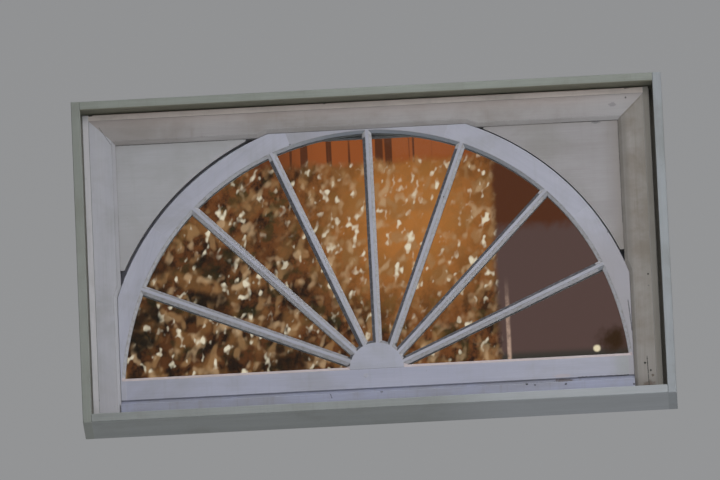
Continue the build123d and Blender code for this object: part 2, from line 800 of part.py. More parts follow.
def build():
    parts = {}
    opening = frame_opening()
    groove = panel_groove()
    parts["casing_head"], parts["casing_left"], parts["casing_right"] = casing_members(opening, groove)
    parts["head_jamb"], parts["left_jamb"], parts["right_jamb"] = jambs()
    parts["sill"] = sill()
    parts["spandrel_left"] = mirrored(spandrel(left_panel_gap))
    parts["spandrel_right"] = spandrel(right_panel_gap)
    boards = lining_boards()
    for name, piece in zip(("head", "left", "right", "bottom"), boards):
        parts["lining_" + name] = piece
    for name, piece in zip(("head", "left", "right", "bottom"), stops()):
        parts["stop_" + name] = piece
    parts["stop_corner_left"] = mirrored(stop_corner())
    parts["stop_corner_right"] = stop_corner()

    outline = sash_outline()
    arch = [arch_segment(k, outline) for k in range(1, segment_count + 1)]
    for k, piece in enumerate(arch, 1):
        parts["arch_segment_%d" % k] = piece
    parts["hub"] = hub()
    rail = bottom_rail([arch[0], arch[-1]], parts["hub"], outline)
    parts["bottom_rail"] = rail - hub_dowels(screw_play) - rail_plug(screw_play)
    tabs = glazing_points()
    for k in range(1, bar_count + 1):
        bar = muntin(k, arch + [parts["hub"], parts["bottom_rail"]])
        if k > 1:
            bar = cut_all(bar, near_only(bar, [parts["muntin_%d" % (k - 1)]]))
        parts["muntin_%d" % k] = cut_all(bar, near_only(bar, tabs))
    for k in range(1, bay_count + 1):
        parts["pane_%d" % k] = pane(k)
        parts["putty_%d" % k] = putty(k, tabs)

    for name in ("lining_left", "lining_right", "left_jamb", "right_jamb"):
        screws = frame_fixings(screw_play) + corner_screws(screw_play) + wall_holes()
        parts[name] = cut_all(parts[name], near_only(parts[name], screws))
    for name in ("lining_head", "lining_bottom"):
        screws = corner_screws(screw_play)
        parts[name] = cut_all(parts[name], near_only(parts[name], screws))
    holed = ("stop_head", "stop_left", "stop_right", "casing_head", "casing_left", "casing_right")
    for name in holed:
        screws = stop_screws(screw_play)
        parts[name] = cut_all(parts[name], near_only(parts[name], screws))
    for name in ("arch_segment_1", "arch_segment_5", "bottom_rail"):
        parts[name] = cut_all(parts[name], near_only(parts[name], foot_nails(screw_play)))

    parts["gap_seals"] = Compound(gap_seals())
    parts["packers"] = Compound(packers(frame_fixings(screw_play)))
    parts["frame_screws"] = Compound(frame_fixings())
    parts["corner_screws"] = Compound(corner_screws())
    parts["stop_screws"] = Compound(stop_screws())
    parts["glazing_points"] = Compound(tabs)
    parts["mitre_keys"] = mitre_keys()
    parts["rail_plug"] = rail_plug(0)
    parts["hub_dowels"] = hub_dowels(0)
    parts["foot_nails"] = Compound(foot_nails())
    return parts


# The window is drawn about the middle of its frame; the origin is the middle of the lining
to_origin = Pos(-(left_outer + right_outer) / 2, 0, 0)
os.makedirs("parts", exist_ok=True)
for node, piece in build().items():
    solids = (to_origin * piece).solids()
    whole = solids[0] if len(solids) == 1 else Compound(solids)
    export_step(whole, "parts/%s.step" % node)
    print(node, len(solids), round(whole.volume))
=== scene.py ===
import math

import bpy
from mathutils import Matrix, Vector


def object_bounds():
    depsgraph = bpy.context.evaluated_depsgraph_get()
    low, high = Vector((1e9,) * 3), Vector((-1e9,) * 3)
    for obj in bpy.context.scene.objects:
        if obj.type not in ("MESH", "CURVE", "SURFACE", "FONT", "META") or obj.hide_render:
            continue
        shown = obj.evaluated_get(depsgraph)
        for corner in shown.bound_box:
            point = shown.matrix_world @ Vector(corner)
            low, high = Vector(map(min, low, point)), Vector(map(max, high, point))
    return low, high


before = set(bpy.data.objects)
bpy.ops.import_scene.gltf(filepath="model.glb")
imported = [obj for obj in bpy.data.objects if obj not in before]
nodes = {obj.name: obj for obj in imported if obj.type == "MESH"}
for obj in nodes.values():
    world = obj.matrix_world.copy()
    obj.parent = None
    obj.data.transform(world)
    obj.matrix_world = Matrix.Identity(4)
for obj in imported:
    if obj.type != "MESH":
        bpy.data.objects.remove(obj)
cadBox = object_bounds()
mm = 0.001
print("frame loaded:", len(nodes), "nodes")


# small helpers for shader trees

def paint(red, green, blue):
    # a colour written in 0 to 255, as the linear value that a socket wants
    def straight(value):
        share = value / 255
        return share / 12.92 if share <= 0.04045 else ((share + 0.055) / 1.055) ** 2.4
    return (straight(red), straight(green), straight(blue), 1)


def put(tree, kind, feeds=None, **settings):
    # one shader node with its inputs fed and its settings or plain values set
    made = tree.nodes.new("ShaderNode" + kind)
    for name, value in settings.items():
        if hasattr(made, name):
            setattr(made, name, value)
        else:
            made.inputs[name.replace("_", " ")].default_value = value
    for socket, source in (feeds or {}).items():
        tree.links.new(source, made.inputs[socket])
    return made


def noise(tree, vector, sizes, detail, roughness, distortion=0):
    # each size is the length of one feature in millimetres
    scaled = put(tree, "Mapping", {"Vector": vector}, Scale=tuple(1 / (s * mm) for s in sizes)).outputs[0]
    return put(tree, "TexNoise", {"Vector": scaled}, Scale=1, Detail=detail, Roughness=roughness,
               Distortion=distortion).outputs[0]


def maths(tree, operation, first, second=0, clamp=False):
    made = put(tree, "Math", operation=operation, use_clamp=clamp)
    for index, source in enumerate((first, second)):
        if isinstance(source, (int, float)):
            made.inputs[index].default_value = source
        else:
            tree.links.new(source, made.inputs[index])
    return made.outputs[0]


def times(tree, first, second):
    return maths(tree, "MULTIPLY", first, second)


def plus(tree, first, second, clamp=False):
    return maths(tree, "ADD", first, second, clamp)


def ramp(tree, source, span, result=(0, 1)):
    # a smooth step over a span, which may also run downwards
    made = put(tree, "MapRange", {"Value": source}, interpolation_type="SMOOTHSTEP")
    for socket, value in zip(("From Min", "From Max", "To Min", "To Max"), span + result):
        made.inputs[socket].default_value = value
    return made.outputs[0]


def mixed(tree, mask, under, over):
    made = put(tree, "Mix", data_type="RGBA")
    for index, source in ((0, mask), (6, under), (7, over)):
        if isinstance(source, bpy.types.NodeSocket):
            tree.links.new(source, made.inputs[index])
        else:
            made.inputs[index].default_value = source
    return made.outputs[2]


def against(tree, operation, vector, constant):
    # a vector operation with a fixed second vector
    made = put(tree, "VectorMath", {0: vector}, operation=operation)
    made.inputs[1].default_value = constant
    return made.outputs


def axesOf(tree, vector):
    return put(tree, "SeparateXYZ", {0: vector}).outputs


def newGroup(name, inputs, outputs):
    group = bpy.data.node_groups.new(name, "ShaderNodeTree")
    for label, kind, value in inputs:
        socket = group.interface.new_socket(label, in_out="INPUT", socket_type="NodeSocket" + kind)
        if value is not None:
            socket.default_value = value
    for label, kind in outputs:
        group.interface.new_socket(label, in_out="OUTPUT", socket_type="NodeSocket" + kind)
    start, end = group.nodes.new("NodeGroupInput"), group.nodes.new("NodeGroupOutput")
    return group, start.outputs, end.inputs


def useGroup(tree, group, feeds, **values):
    made = put(tree, "Group", node_tree=group)
    for socket, source in feeds.items():
        tree.links.new(source, made.inputs[socket])
    for name, value in values.items():
        made.inputs[name.replace("_", " ")].default_value = value
    return made.outputs


# effects that several finishes share; sizes in millimetres, spans are the noise values where a mark fades in

brushedGrain = {
    "ridges": (90, 3.2, 3.2), "ridgeShare": 0.6, "brush": (45, 0.9, 0.9), "brushShare": 0.4,
    "body": (420, 38, 38), "bodyShare": 0.45, "fineShare": 0.55,
}


def makeGrainGroup():
    # softwood grain that telegraphs through old brushed paint; the board runs along x
    group, start, end = newGroup(
        "Brushed Grain",
        [("Vector", "Vector", None)],
        [("Tone", "Float"), ("Height", "Float")],
    )
    vector = start["Vector"]
    ridges = noise(group, vector, brushedGrain["ridges"], 3, 0.55, 0.4)
    brush = noise(group, vector, brushedGrain["brush"], 2, 0.6)
    body = noise(group, vector, brushedGrain["body"], 2, 0.5)
    fine = plus(group, times(group, ridges, brushedGrain["ridgeShare"]),
                times(group, brush, brushedGrain["brushShare"]))
    tone = plus(group, times(group, fine, brushedGrain["fineShare"]),
                times(group, body, brushedGrain["bodyShare"]))
    group.links.new(tone, end["Tone"])
    group.links.new(fine, end["Height"])
    return group


weatherGrime = {
    "clouds": (140, 140, 110), "cloudSpan": (0.42, 0.72), "streaks": (11, 11, 190), "streakSpan": (0.5, 0.78),
    "specks": (5, 5, 5), "speckSpan": (0.74, 0.8),
}


def makeGrimeGroup():
    # clouds of dirt, rain streaks and fly specks on a surface out of doors
    group, start, end = newGroup(
        "Weather Grime",
        [("Vector", "Vector", None), ("Clouds", "Float", 0.5), ("Streaks", "Float", 0.5)],
        [("Dirt", "Float"), ("Specks", "Float")],
    )
    vector = start["Vector"]
    clouds = noise(group, vector, weatherGrime["clouds"], 5, 0.62, 0.3)
    streaks = noise(group, vector, weatherGrime["streaks"], 3, 0.6)
    specks = noise(group, vector, weatherGrime["specks"], 2, 0.5)
    soft = times(group, ramp(group, clouds, weatherGrime["cloudSpan"]), start["Clouds"])
    runs = times(group, ramp(group, streaks, weatherGrime["streakSpan"]), start["Streaks"])
    group.links.new(plus(group, soft, runs, clamp=True), end["Dirt"])
    group.links.new(ramp(group, specks, weatherGrime["speckSpan"]), end["Specks"])
    return group


edgeRubAndHighlight = {"samples": 6, "bent": (0.01, 0.12), "patches": (26, 26, 26), "chipSpan": (0.56, 0.64)}


def makeEdgeGroup():
    # where a corner is rubbed and where it takes a painted highlight: the rounded normal leaves the face's
    # own normal
    group, start, end = newGroup(
        "Edge Rub And Highlight",
        [("Vector", "Vector", None), ("Width", "Float", 1.6 * mm)],
        [("Edge", "Float"), ("Chips", "Float")],
    )
    rounded = put(group, "Bevel", {"Radius": start["Width"]}, samples=edgeRubAndHighlight["samples"]).outputs[0]
    plain = put(group, "NewGeometry").outputs["Normal"]
    likeness = put(group, "VectorMath", {0: rounded, 1: plain}, operation="DOT_PRODUCT").outputs["Value"]
    bent = ramp(group, maths(group, "SUBTRACT", 1, likeness), edgeRubAndHighlight["bent"])
    patchy = noise(group, start["Vector"], edgeRubAndHighlight["patches"], 4, 0.65)
    group.links.new(bent, end["Edge"])
    group.links.new(times(group, bent, ramp(group, patchy, edgeRubAndHighlight["chipSpan"])), end["Chips"])
    return group


jointGrimeAndShade = {
    "samples": 6, "closed": (0.35, 0.92), "ragged": (14, 14, 14), "raggedSpan": (0.25, 0.6), "least": 0.45,
}


def makeJointGroup():
    # dirt that settles where boards meet, with painted shade: the occlusion darkens joints, recesses and
    # corners
    group, start, end = newGroup(
        "Joint Grime And Shade",
        [("Vector", "Vector", None), ("Reach", "Float", 9 * mm)],
        [("Dirt", "Float")],
    )
    hidden = put(group, "AmbientOcclusion", {"Distance": start["Reach"]}, samples=jointGrimeAndShade["samples"])
    openness = hidden.outputs["AO"]
    ragged = noise(group, start["Vector"], jointGrimeAndShade["ragged"], 4, 0.6)
    closed = ramp(group, openness, jointGrimeAndShade["closed"], (1, 0))
    uneven = ramp(group, ragged, jointGrimeAndShade["raggedSpan"], (jointGrimeAndShade["least"], 1))
    group.links.new(times(group, closed, uneven), end["Dirt"])
    return group


weatherSpot = {"rim": (6, 6, 6), "rimSpan": (0.2, 0.8), "uneven": 0.45, "fade": (0.55, 1.05)}


def makeSpotGroup():
    # one round mark seen from outdoors, with an uneven rim
    group, start, end = newGroup(
        "Weather Spot",
        [("Vector", "Vector", None), ("Centre", "Vector", None), ("Radius", "Float", 5 * mm),
         ("Tall", "Float", 1), ("Strength", "Float", 1)],
        [("Mask", "Float")],
    )
    away = put(group, "VectorMath", {0: start["Vector"], 1: start["Centre"]}, operation="SUBTRACT").outputs[0]
    flat = axesOf(group, away)
    upright = maths(group, "DIVIDE", flat["Z"], start["Tall"])
    across = times(group, flat["X"], flat["X"])
    far = maths(group, "SQRT", plus(group, across, times(group, upright, upright)))
    share = maths(group, "DIVIDE", far, start["Radius"])
    rim = noise(group, start["Vector"], weatherSpot["rim"], 3, 0.6)
    uneven = ramp(group, rim, weatherSpot["rimSpan"], (-weatherSpot["uneven"], weatherSpot["uneven"]))
    inside = ramp(group, plus(group, share, uneven), weatherSpot["fade"], (1, 0))
    group.links.new(times(group, inside, start["Strength"]), end["Mask"])
    return group


weatherLine = {"rough": (5, 5, 5), "roughSpan": (0.25, 0.75), "uneven": 0.8, "fade": (0.35, 0.95)}


def makeLineGroup():
    # one thin mark from a point to another, seen from outdoors: a crack, a run or the shade of a joint
    group, start, end = newGroup(
        "Weather Line",
        [("Vector", "Vector", None), ("From", "Vector", None), ("To", "Vector", None),
         ("Width", "Float", 2 * mm), ("Ragged", "Float", 0.5), ("Strength", "Float", 1)],
        [("Mask", "Float")],
    )
    flat = against(group, "MULTIPLY", start["Vector"], (1, 0, 1))[0]
    away = put(group, "VectorMath", {0: flat, 1: start["From"]}, operation="SUBTRACT").outputs[0]
    run = put(group, "VectorMath", {0: start["To"], 1: start["From"]}, operation="SUBTRACT").outputs[0]
    gone = put(group, "VectorMath", {0: away, 1: run}, operation="DOT_PRODUCT").outputs["Value"]
    whole = put(group, "VectorMath", {0: run, 1: run}, operation="DOT_PRODUCT").outputs["Value"]
    share = maths(group, "DIVIDE", gone, whole, clamp=True)
    nearest = put(group, "VectorMath", {0: run, "Scale": share}, operation="SCALE").outputs[0]
    far = put(group, "VectorMath", {0: away, 1: nearest}, operation="DISTANCE").outputs["Value"]
    rough = noise(group, start["Vector"], weatherLine["rough"], 3, 0.6)
    uneven = ramp(group, rough, weatherLine["roughSpan"], (-weatherLine["uneven"], weatherLine["uneven"]))
    reach = plus(group, maths(group, "DIVIDE", far, start["Width"]), times(group, uneven, start["Ragged"]))
    mask = ramp(group, reach, weatherLine["fade"], (1, 0))
    group.links.new(times(group, mask, start["Strength"]), end["Mask"])
    return group


grainGroup = makeGrainGroup()
grimeGroup = makeGrimeGroup()
edgeGroup = makeEdgeGroup()
jointGroup = makeJointGroup()
spotGroup = makeSpotGroup()
lineGroup = makeLineGroup()
print("shared effects ready")


# finishes; marks are placed in millimetres from the frame's middle, which stands off the lining's

frameMiddle = -3


def newMaterial(name):
    material = bpy.data.materials.new(name)
    material.use_nodes = True
    tree = material.node_tree
    return material, tree, tree.nodes["Principled BSDF"]


def onWindow(x, z):
    return ((x + frameMiddle) * mm, 0, z * mm)


def addSpots(tree, place, base, spots):
    for x, z, radius, tall, strength, colour in spots:
        spot = useGroup(tree, spotGroup, {"Vector": place}, Centre=onWindow(x, z), Radius=radius * mm,
                        Tall=tall, Strength=strength)
        base = mixed(tree, spot["Mask"], base, colour)
    return base


def addLines(tree, place, base, lines):
    for x0, z0, x1, z1, width, ragged, strength, colour in lines:
        line = useGroup(tree, lineGroup, {"Vector": place}, From=onWindow(x0, z0), To=onWindow(x1, z1),
                        Width=width * mm, Ragged=ragged, Strength=strength)
        base = mixed(tree, line["Mask"], base, colour)
    return base


def addTints(tree, place, base, tints, tone):
    # a soft change of colour along one axis, broken up by the grain
    split = axesOf(tree, place)
    for axis, low, high, strength, colour in tints:
        aside = frameMiddle if axis == "X" else 0
        fade = ramp(tree, split[axis], ((low + aside) * mm, (high + aside) * mm), (0, strength))
        base = mixed(tree, times(tree, fade, ramp(tree, tone, (0.3, 0.62), (0.7, 1))), base, colour)
    return base


def addBump(tree, shader, height, strength, depth):
    bump = put(tree, "Bump", {"Height": height}, Strength=strength, Distance=depth * mm)
    tree.links.new(bump.outputs[0], shader.inputs["Normal"])


def paintedBoard(name, look):
    material, tree, shader = newMaterial(name)
    place = put(tree, "TexCoord").outputs["Object"]
    seed = look["seed"]
    shift = (seed * 1.7, seed * 0.9, seed * 2.3)
    shifted = put(tree, "Mapping", {"Vector": place}, Location=shift).outputs[0]
    along = put(tree, "Mapping", {"Vector": shifted}, Rotation=(0, math.radians(look["run"]), 0)).outputs[0]
    grain = useGroup(tree, grainGroup, {"Vector": along})
    grime = useGroup(tree, grimeGroup, {"Vector": shifted}, Clouds=look["clouds"], Streaks=look["streaks"])
    # edge marks the corners for worn paint with a painted highlight, and for chips of bare wood
    edge = useGroup(tree, edgeGroup, {"Vector": shifted})
    # joint darkens joints, recesses and corners: dirt with painted shade
    joint = useGroup(tree, jointGroup, {"Vector": shifted}, Reach=look["reach"] * mm)
    base = mixed(tree, ramp(tree, grain["Tone"], (0.3, 0.7)), look["shade"], look["colour"])
    base = mixed(tree, grime["Dirt"], base, look["dirt"])
    for mask, amount, colour in ((grime["Specks"], "specks", "crustAndShade"), (edge["Edge"], "rubAndHighlight", "bright"),
                                 (edge["Chips"], "chips", "wood"), (joint["Dirt"], "joints", "crustAndShade")):
        base = mixed(tree, times(tree, mask, look[amount]), base, look[colour])
    base = addTints(tree, place, base, look["tints"], grain["Tone"])
    # faces that look down take the under colour: painted shade with dirt
    if look["under"]:
        facing = axesOf(tree, put(tree, "TexCoord").outputs["Normal"])["Z"]
        base = mixed(tree, ramp(tree, facing, (-0.2, -0.6), (0, 0.9)), base, look["under"])
    base = addSpots(tree, place, base, look["spots"])
    base = addLines(tree, place, base, look["lines"])
    tree.links.new(base, shader.inputs["Base Color"])
    tree.links.new(ramp(tree, grime["Dirt"], (0, 1), (look["gloss"], 0.8)), shader.inputs["Roughness"])
    addBump(tree, shader, grain["Height"], look["ridge"], 0.35)
    return material


# what every board has: its run is in degrees above +x, reach is how far the joint dirt and painted shade
# spread from a joint in millimetres, under is the colour of faces that look down, a painted shade with dirt,
# and the rest are colours and amounts
plainPaint = {
    "run": 0, "seed": 0, "colour": paint(184, 185, 198), "shade": paint(172, 173, 187),
    "dirt": paint(140, 138, 132), "crustAndShade": paint(44, 42, 36), "bright": paint(205, 206, 212),
    "wood": paint(120, 96, 78), "clouds": 0.3, "streaks": 0.12, "reach": 7, "specks": 0.35, "rubAndHighlight": 0.35,
    "chips": 0.25, "joints": 0.6, "gloss": 0.42, "ridge": 0.35,
    "spots": [], "lines": [], "tints": [], "under": None,
}
liningPaint = dict(
    plainPaint, colour=paint(154, 159, 153), shade=paint(141, 146, 140), dirt=paint(118, 118, 106),
    bright=paint(176, 182, 176), gloss=0.6, reach=4, joints=0.35,
)
darkDot = paint(38, 36, 34)
softDot = paint(92, 92, 96)
brownDot = paint(104, 96, 88)
deadWood = paint(96, 84, 74)
pinkPaint = paint(196, 176, 172)

# dark marks in the corners where the bars meet the hub, dirt with painted shade: x, z, radius, tall,
# strength, colour
hubCornerMarks = [
    (-40.7, 152.7, 4.4, 1, 0.85, darkDot), (-58.8, 128.9, 4.6, 1, 0.85, darkDot),
    (21.8, 160.5, 3.6, 1, 0.6, darkDot), (45, 152.5, 4.4, 1, 0.85, darkDot),
    (58.9, 124.8, 4, 1, 0.85, darkDot), (-76, 108.6, 8, 0.3, 0.8, darkDot),
]
# the open mitres at the two upper corners, and small marks that cross two joints of the arch
leftMitre = (-574.3, 671, -549.9, 631.1, 1.2, 0.45, 0.6, softDot)
rightMitre = (591, 677.5, 545.8, 632.4, 1.2, 0.55, 0.45, brownDot)
rightJointMark = (507.9, 378.5, 2.6, 1, 0.8, softDot)
crownJointMark = (-165.4, 613, 2.4, 1, 0.7, softDot)

# what each board shows besides: tints (axis, from, to, strength, colour),
# spots (x, z, radius, tall, strength, colour) and lines (x, z, x, z, width, raggedness, strength, colour)
boardLooks = {
    "casing_left": {
        "colour": paint(186, 186, 193), "shade": paint(176, 176, 184),
        "tints": [("Z", 200, 0, 0.25, paint(172, 166, 166)), ("X", -552, -547, 0.3, paint(130, 128, 128))],
        "spots": [(-544, 102, 2.4, 1.4, 0.8, darkDot), (-598, 58, 2.4, 1.6, 0.7, darkDot),
                  (-600, 30, 3, 1, 0.7, darkDot), (-545, 27, 3, 1, 0.8, darkDot)],
        "lines": [leftMitre],
    },
    # the head casing's darker, warmer colour than the side casings is painted shade, with more dirt
    "casing_head": {
        "colour": paint(168, 164, 165), "shade": paint(156, 152, 153), "dirt": paint(128, 120, 110),
        "clouds": 0.45,
        "tints": [("Z", 655, 690, 0.45, paint(184, 168, 162)), ("X", 420, 560, 0.35, paint(176, 176, 180)),
                  ("X", -350, -520, 0.4, paint(140, 134, 130))],
        "spots": [(-594, 680, 2.6, 1, 0.7, darkDot), (560, 678, 2.6, 1, 0.7, darkDot),
                  (530, 664, 9, 0.6, 0.35, softDot)],
        "lines": [leftMitre, rightMitre],
    },
    # the right casing's darker colour is painted shade from the lining beside it, with more dirt, and its
    # first two tints darken it towards the outer edge and the inner chamfer as painted shade
    "casing_right": {
        "colour": paint(159, 154, 151), "shade": paint(144, 140, 135), "dirt": paint(118, 108, 96),
        "clouds": 0.65, "streaks": 0.35,
        "tints": [("X", 575, 612, 0.4, paint(136, 132, 124)), ("X", 564, 552, 0.7, paint(124, 120, 116)),
                  ("Z", 60, 20, 0.5, paint(96, 90, 82))],
        "spots": [(604.4, 305.8, 3, 1.6, 1, darkDot), (589.1, 277.4, 2.2, 1.2, 1, darkDot),
                  (610.6, 323.5, 2, 1.2, 0.9, darkDot), (589, 252, 2, 1, 0.7, softDot),
                  (573.1, 78.1, 2.6, 1.4, 1, darkDot), (585.2, 61.7, 3, 1, 1, darkDot),
                  (588.9, 50.3, 4, 0.8, 0.9, deadWood), (580, 30, 14, 0.7, 0.7, deadWood)],
        "lines": [(578.2, 93.5, 580, 20, 1.3, 0.6, 0.9, darkDot), rightMitre],
    },
    "head_jamb": {
        "colour": paint(204, 193, 188), "shade": paint(190, 179, 174), "clouds": 0.5,
        "tints": [("Z", 696, 701, 0.6, paint(190, 168, 160))],
        "spots": [(-592.5, 700, 6, 0.5, 1, darkDot), (-88.2, 700, 4, 0.5, 0.9, darkDot),
                  (562, 700.5, 8, 0.4, 0.7, darkDot)],
    },
    "left_jamb": {
        "colour": paint(204, 202, 206), "shade": paint(192, 190, 194),
        "lines": [(-614.9, 22.9, -615.7, 0.6, 1.6, 0.4, 1, darkDot)],
    },
    # the right jamb's darker colour is painted shade on the shaded right side
    "right_jamb": {"colour": paint(136, 132, 126), "shade": paint(121, 117, 111)},
    # the dark line under the casing head and the darker band along the top of the panel are painted shadow,
    # and the wide darkening beside the arch is dirt with painted shadow of the arch
    "spandrel_left": {
        "colour": paint(178, 178, 182), "shade": paint(170, 170, 174), "clouds": 0.25,
        "reach": 18, "joints": 0.55, "crustAndShade": paint(96, 88, 82),
        "tints": [("Z", 470, 380, 0.25, paint(150, 146, 146)), ("Z", 610, 630, 0.3, paint(140, 136, 134))],
        "lines": [(-546, 631.5, -300, 631.5, 1.6, 0.3, 0.7, darkDot)],
    },
    # the right panel's darker colour, the tints that darken it towards the right casing and the casing head,
    # and the dark lines under the casing head and beside the right casing are painted shadow; the darkening
    # beside the arch is dirt with painted shadow
    "spandrel_right": {
        "colour": paint(167, 164, 167), "shade": paint(156, 152, 154), "clouds": 0.45,
        "reach": 12, "joints": 0.5, "crustAndShade": paint(90, 82, 76),
        "tints": [("X", 495, 545, 0.55, paint(134, 126, 118)), ("Z", 612, 634, 0.35, paint(136, 130, 126))],
        "lines": [
            (420, 631.5, 545, 631.5, 1.6, 0.3, 0.7, darkDot),
            (541, 631, 541, 400, 1.6, 0.35, 0.7, darkDot),
        ],
        "spots": [(492, 628.5, 10, 0.4, 0.6, softDot)],
    },
    "sill": {
        "colour": paint(168, 172, 194), "shade": paint(154, 157, 178),
        "clouds": 0.4, "streaks": 0.3, "joints": 0.25,
        "spots": [(319, 44.7, 3.4, 0.7, 0.9, darkDot), (336, 41.5, 2.6, 0.7, 0.9, darkDot),
                  (402.3, 40.2, 3, 0.7, 0.9, darkDot), (547.4, 32.3, 2.6, 1, 0.9, darkDot),
                  (8, 44, 3.4, 0.7, 0.7, softDot), (396.6, 52, 20, 0.25, 0.7, deadWood)],
        "lines": [
            (-98.8, 35.9, -102.6, 47.3, 1.2, 0.4, 0.7, darkDot),
            (200, 47, 360, 48.5, 1.4, 0.9, 0.5, softDot),
        ],
    },
    "bottom_rail": {
        "colour": paint(179, 181, 198), "shade": paint(168, 170, 188), "joints": 0.3,
        "tints": [("X", 120, 420, 0.3, paint(188, 188, 198)), ("X", 490, 532, 0.45, paint(150, 154, 140))],
        "spots": [(396.6, 61, 22, 0.22, 0.35, pinkPaint)],
        "lines": [(540, 99, 541, 58, 1.2, 0.4, 0.7, softDot), (430, 56, 545, 55.5, 1.6, 0.5, 0.6, darkDot)],
    },
    "hub": {"colour": paint(181, 183, 198), "shade": paint(173, 175, 190), "spots": hubCornerMarks},
    "muntin_3": {"spots": [(160.1, 476.5, 2.4, 1, 1, darkDot)]},
    "arch_segment_1": {
        "tints": [("Z", 430, 300, 0.75, paint(162, 158, 162))],
        "lines": [(543.5, 223.2, 548.9, 155.4, 1.6, 0.3, 0.9, softDot)],
        "spots": [rightJointMark],
    },
    "arch_segment_2": {"spots": [rightJointMark]},
    "arch_segment_3": {"spots": [crownJointMark], "tints": [("Z", 585, 640, 0.3, paint(150, 145, 148))]},
    "arch_segment_4": {"spots": [crownJointMark, (-373, 480.7, 2.6, 1, 0.8, softDot)]},
    # the lining head is darker on its underside and towards the lower edge of its face: painted shade with
    # dirt
    "lining_head": {"under": paint(122, 120, 105), "tints": [("Z", 712, 703, 0.3, paint(120, 120, 112))]},
    "lining_left": {"colour": paint(150, 153, 148)},
    # the right lining's lighter, bluer colour and the bottom lining's lighter tint towards the right are
    # painted light on the side the light comes from
    "lining_right": {"colour": paint(164, 169, 174), "shade": paint(154, 158, 163)},
    "lining_bottom": {
        "colour": paint(158, 162, 162), "shade": paint(147, 151, 151),
        "tints": [("X", 60, 320, 0.7, paint(182, 186, 192))],
    },
}

# which way the grain of each board runs; the order also sets the boards' seeds
levelBoards = (
    "casing_head", "head_jamb", "sill", "spandrel_left", "spandrel_right", "bottom_rail", "hub", "rail_plug",
    "lining_head", "lining_bottom", "stop_head", "stop_bottom", "stop_corner_left", "stop_corner_right",
)
uprightBoards = (
    "casing_left", "casing_right", "left_jamb", "right_jamb", "lining_left", "lining_right", "stop_left",
    "stop_right",
)
segmentTurn, barTurn = 36, 22.5
boards = dict.fromkeys(levelBoards, 0)
boards.update(dict.fromkeys(uprightBoards, 90))
for k in range(1, 6):
    boards["arch_segment_%d" % k] = segmentTurn * (k - 0.5) + 90
for k in range(1, 8):
    boards["muntin_%d" % k] = barTurn * k


def finishNode(name, material):
    slots = nodes[name].data.materials
    slots.clear()
    slots.append(material)


for number, (name, run) in enumerate(boards.items()):
    look = dict(liningPaint if name.startswith("lining_") else plainPaint, run=run, seed=0.37 * number)
    look.update(boardLooks.get(name, {}))
    if name.startswith("muntin_"):
        look["spots"] = look["spots"] + hubCornerMarks
    finishNode(name, paintedBoard(name + "_paint", look))
print("painted boards done")


# putty and glass

oldPutty = {
    "colour": paint(180, 180, 187), "worn": paint(158, 154, 152), "slopeShade": paint(84, 84, 90),
    "crown": paint(128, 133, 142), "rail": paint(200, 188, 190), "crustAndShade": paint(50, 45, 38),
    "lumps": (7, 7, 7), "reach": 5, "rough": 0.6, "ridge": 0.5, "depth": 0.5,
    "shadedSlopeWay": (-0.866, 0, 0.5), "archCentre": (0, 100.5), "archEdge": (0.5195, 0.5225),
    "railFace": (0.1087, 0.1057),
}


def puttyFinish(seed):
    material, tree, shader = newMaterial("putty_%d" % seed)
    spots = put(tree, "TexCoord").outputs
    place = spots["Object"]
    shifted = put(tree, "Mapping", {"Vector": place}, Location=(seed, 0, seed)).outputs[0]
    joint = useGroup(tree, jointGroup, {"Vector": shifted}, Reach=oldPutty["reach"] * mm)
    lumps = noise(tree, shifted, oldPutty["lumps"], 5, 0.6)
    base = mixed(tree, ramp(tree, lumps, (0.4, 0.75)), oldPutty["colour"], oldPutty["worn"])
    # on the bars the slopes that face left or up are darkened as painted shade, and on the arch the slopes
    # that face down get painted shade, less of it towards the left
    flat = against(tree, "MULTIPLY", place, (1, 0, 1))[0]
    out = against(tree, "DISTANCE", flat, onWindow(*oldPutty["archCentre"]))["Value"]
    onArch = ramp(tree, out, oldPutty["archEdge"])
    tilt = against(tree, "DOT_PRODUCT", spots["Normal"], oldPutty["shadedSlopeWay"])["Value"]
    facing = axesOf(tree, spots["Normal"])["Z"]
    upward = ramp(tree, facing, (0.25, 0.52), (0, 0.45))
    slopeShade = maths(tree, "MAXIMUM", ramp(tree, tilt, (0.17, 0.33)), upward)
    ragged = times(tree, slopeShade, ramp(tree, lumps, (0.25, 0.6), (0.75, 1)))
    onBars = maths(tree, "SUBTRACT", 1, onArch)
    base = mixed(tree, times(tree, ragged, onBars), base, oldPutty["slopeShade"])
    split = axesOf(tree, place)
    under = times(tree, ramp(tree, facing, (-0.25, -0.6)), ramp(tree, split["X"], (-0.25, -0.05), (0.25, 1)))
    base = mixed(tree, times(tree, under, onArch), base, oldPutty["crown"])
    base = mixed(tree, ramp(tree, split["Z"], oldPutty["railFace"]), base, oldPutty["rail"])
    # dirt with painted shade where the putty meets the bars and the glass
    base = mixed(tree, times(tree, joint["Dirt"], 0.6), base, oldPutty["crustAndShade"])
    base = addSpots(tree, place, base, hubCornerMarks)
    tree.links.new(base, shader.inputs["Base Color"])
    shader.inputs["Roughness"].default_value = oldPutty["rough"]
    addBump(tree, shader, lumps, oldPutty["ridge"], oldPutty["depth"])
    return material


oldGlass = {"tint": paint(232, 236, 230), "index": 1.5, "waves": (55, 55, 90), "ridge": 0.25, "depth": 0.4}


